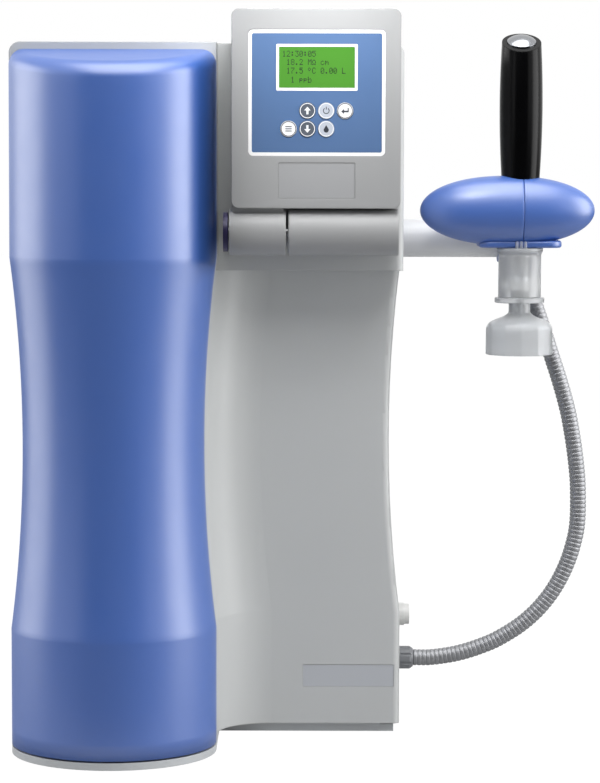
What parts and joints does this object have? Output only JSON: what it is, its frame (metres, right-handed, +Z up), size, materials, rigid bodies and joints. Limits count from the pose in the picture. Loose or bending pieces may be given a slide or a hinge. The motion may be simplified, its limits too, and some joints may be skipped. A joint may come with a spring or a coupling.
{
  "type": "laboratory ultrapure water system",
  "caption": "Bench ultrapure water unit: waisted housing with cartridge column, tilting keypad console, hand dispenser with bell filter on an arm, ribbed hose.",
  "frame": {"origin": "middle of the bounding box in X and Y, on the surface that the feet stand on", "axes": "+X to the user's right, +Y away from the user, +Z up"},
  "size_m": [0.49, 0.372, 0.615],
  "materials": {
    "housing": "light grey moulded plastic, satin",
    "base": "mid grey moulded plastic",
    "rubber": "black rubber",
    "blue": "steel-blue moulded plastic, semi-gloss",
    "panel": "powder-coated sheet",
    "chassis": "bare sheet",
    "cartridge": "white polypropylene",
    "steel": "stainless steel",
    "dark": "dark grey plastic",
    "psu": "plated sheet case",
    "board": "circuit board",
    "console": "light silver-grey plastic, satin",
    "foil_white": "white printed foil",
    "foil_blue": "blue printed foil",
    "lcd": "backlit green display window",
    "key_white": "white key",
    "key_dark": "dark grey key",
    "key_silver": "silver key",
    "arm": "white painted tube",
    "grip": "black gloss plastic",
    "button": "silver domed button",
    "milky": "milky translucent polypropylene",
    "membrane": "filter membrane",
    "gland": "grey plastic",
    "hose": "grey metallised ribbed hose",
    "port": "white plastic",
    "cap": "dark violet-blue plastic",
    "label": "bare silver-grey plate"
  },
  "bodies": {
    "root": {"base_tray": "base", "foot_1": "rubber", "foot_2": "rubber", "foot_3": "rubber", "foot_4": "rubber", "rear_housing": "housing", "front_shell": "housing", "head_front": "housing", "back_panel": "panel", "chassis": "chassis", "cartridge": "cartridge", "cartridge_head": "dark", "uv_reactor": "steel", "ultrafilter": "cartridge", "pump": "dark", "solenoid_valve": "dark", "conductivity_cell": "steel", "power_supply": "psu", "control_board": "board", "hinge_bracket": "console", "hinge_pin": "steel", "hinge_cap": "cap", "arm_tube": "arm", "arm_flange": "base", "arm_end_cap": "base", "hanger": "blue", "hose": "hose", "hose_nut": "gland", "side_port": "port", "housing_label": "label", "mains_inlet": "dark", "feed_port": "port", "drain_port": "port"},
    "console": {"console_shell": "console", "console_back": "console", "foil_frame": "foil_white", "foil_field": "foil_blue", "lcd_window": "lcd", "lcd_module": "board", "key_board": "board", "console_label": "label"},
    "cover": {"cartridge_cover": "blue"},
    "dispenser": {"pod_left": "blue", "pod_right": "blue", "pod_plate": "blue", "hose_socket": "blue", "grip": "grip", "button_spring": "steel", "outlet_nipple": "milky", "filter_collar": "milky", "filter_disc": "membrane", "filter_bell": "milky", "upper_gland": "gland"},
    "thumb": {"thumb_button": "button"},
    "key_menu": {"key_menu": "key_white"},
    "key_up": {"key_up": "key_dark"},
    "key_standby": {"key_standby": "key_silver"},
    "key_enter": {"key_enter": "key_white"},
    "key_down": {"key_down": "key_dark"},
    "key_dispense": {"key_dispense": "key_silver"}
  },
  "joints": [
    {"name": "console_tilt", "type": "hinge", "parent": "root", "child": "console", "pos_m": [0.01, -0.092, 0.4326], "axis": [1, 0, 0], "range_deg": [0, 35]},
    {"name": "cover_pull", "type": "slide", "parent": "root", "child": "cover", "axis": [0, -1, 0], "range_m": [0, 0.12]},
    {"name": "dispenser_draw", "type": "slide", "parent": "root", "child": "dispenser", "axis": [0, -1, 0], "range_m": [0, 0.04], "deforming": ["hose"]},
    {"name": "thumb_press", "type": "slide", "parent": "dispenser", "child": "thumb", "axis": [0, 0.4384, -0.8988], "range_m": [0, 0.0025], "stiffness_N_per_m": 800, "springref_m": -0.0015, "deforming": ["button_spring"]},
    {"name": "key_menu_press", "type": "slide", "parent": "console", "child": "key_menu", "axis": [0, 1, 0], "range_m": [0, 0.0005], "stiffness_N_per_m": 1500, "springref_m": -0.0006},
    {"name": "key_up_press", "type": "slide", "parent": "console", "child": "key_up", "axis": [0, 1, 0], "range_m": [0, 0.0005], "stiffness_N_per_m": 1500, "springref_m": -0.0006},
    {"name": "key_standby_press", "type": "slide", "parent": "console", "child": "key_standby", "axis": [0, 1, 0], "range_m": [0, 0.0005], "stiffness_N_per_m": 1500, "springref_m": -0.0006},
    {"name": "key_enter_press", "type": "slide", "parent": "console", "child": "key_enter", "axis": [0, 1, 0], "range_m": [0, 0.0005], "stiffness_N_per_m": 1500, "springref_m": -0.0006},
    {"name": "key_down_press", "type": "slide", "parent": "console", "child": "key_down", "axis": [0, 1, 0], "range_m": [0, 0.0005], "stiffness_N_per_m": 1500, "springref_m": -0.0006},
    {"name": "key_dispense_press", "type": "slide", "parent": "console", "child": "key_dispense", "axis": [0, 1, 0], "range_m": [0, 0.0005], "stiffness_N_per_m": 1500, "springref_m": -0.0006}
  ]
}
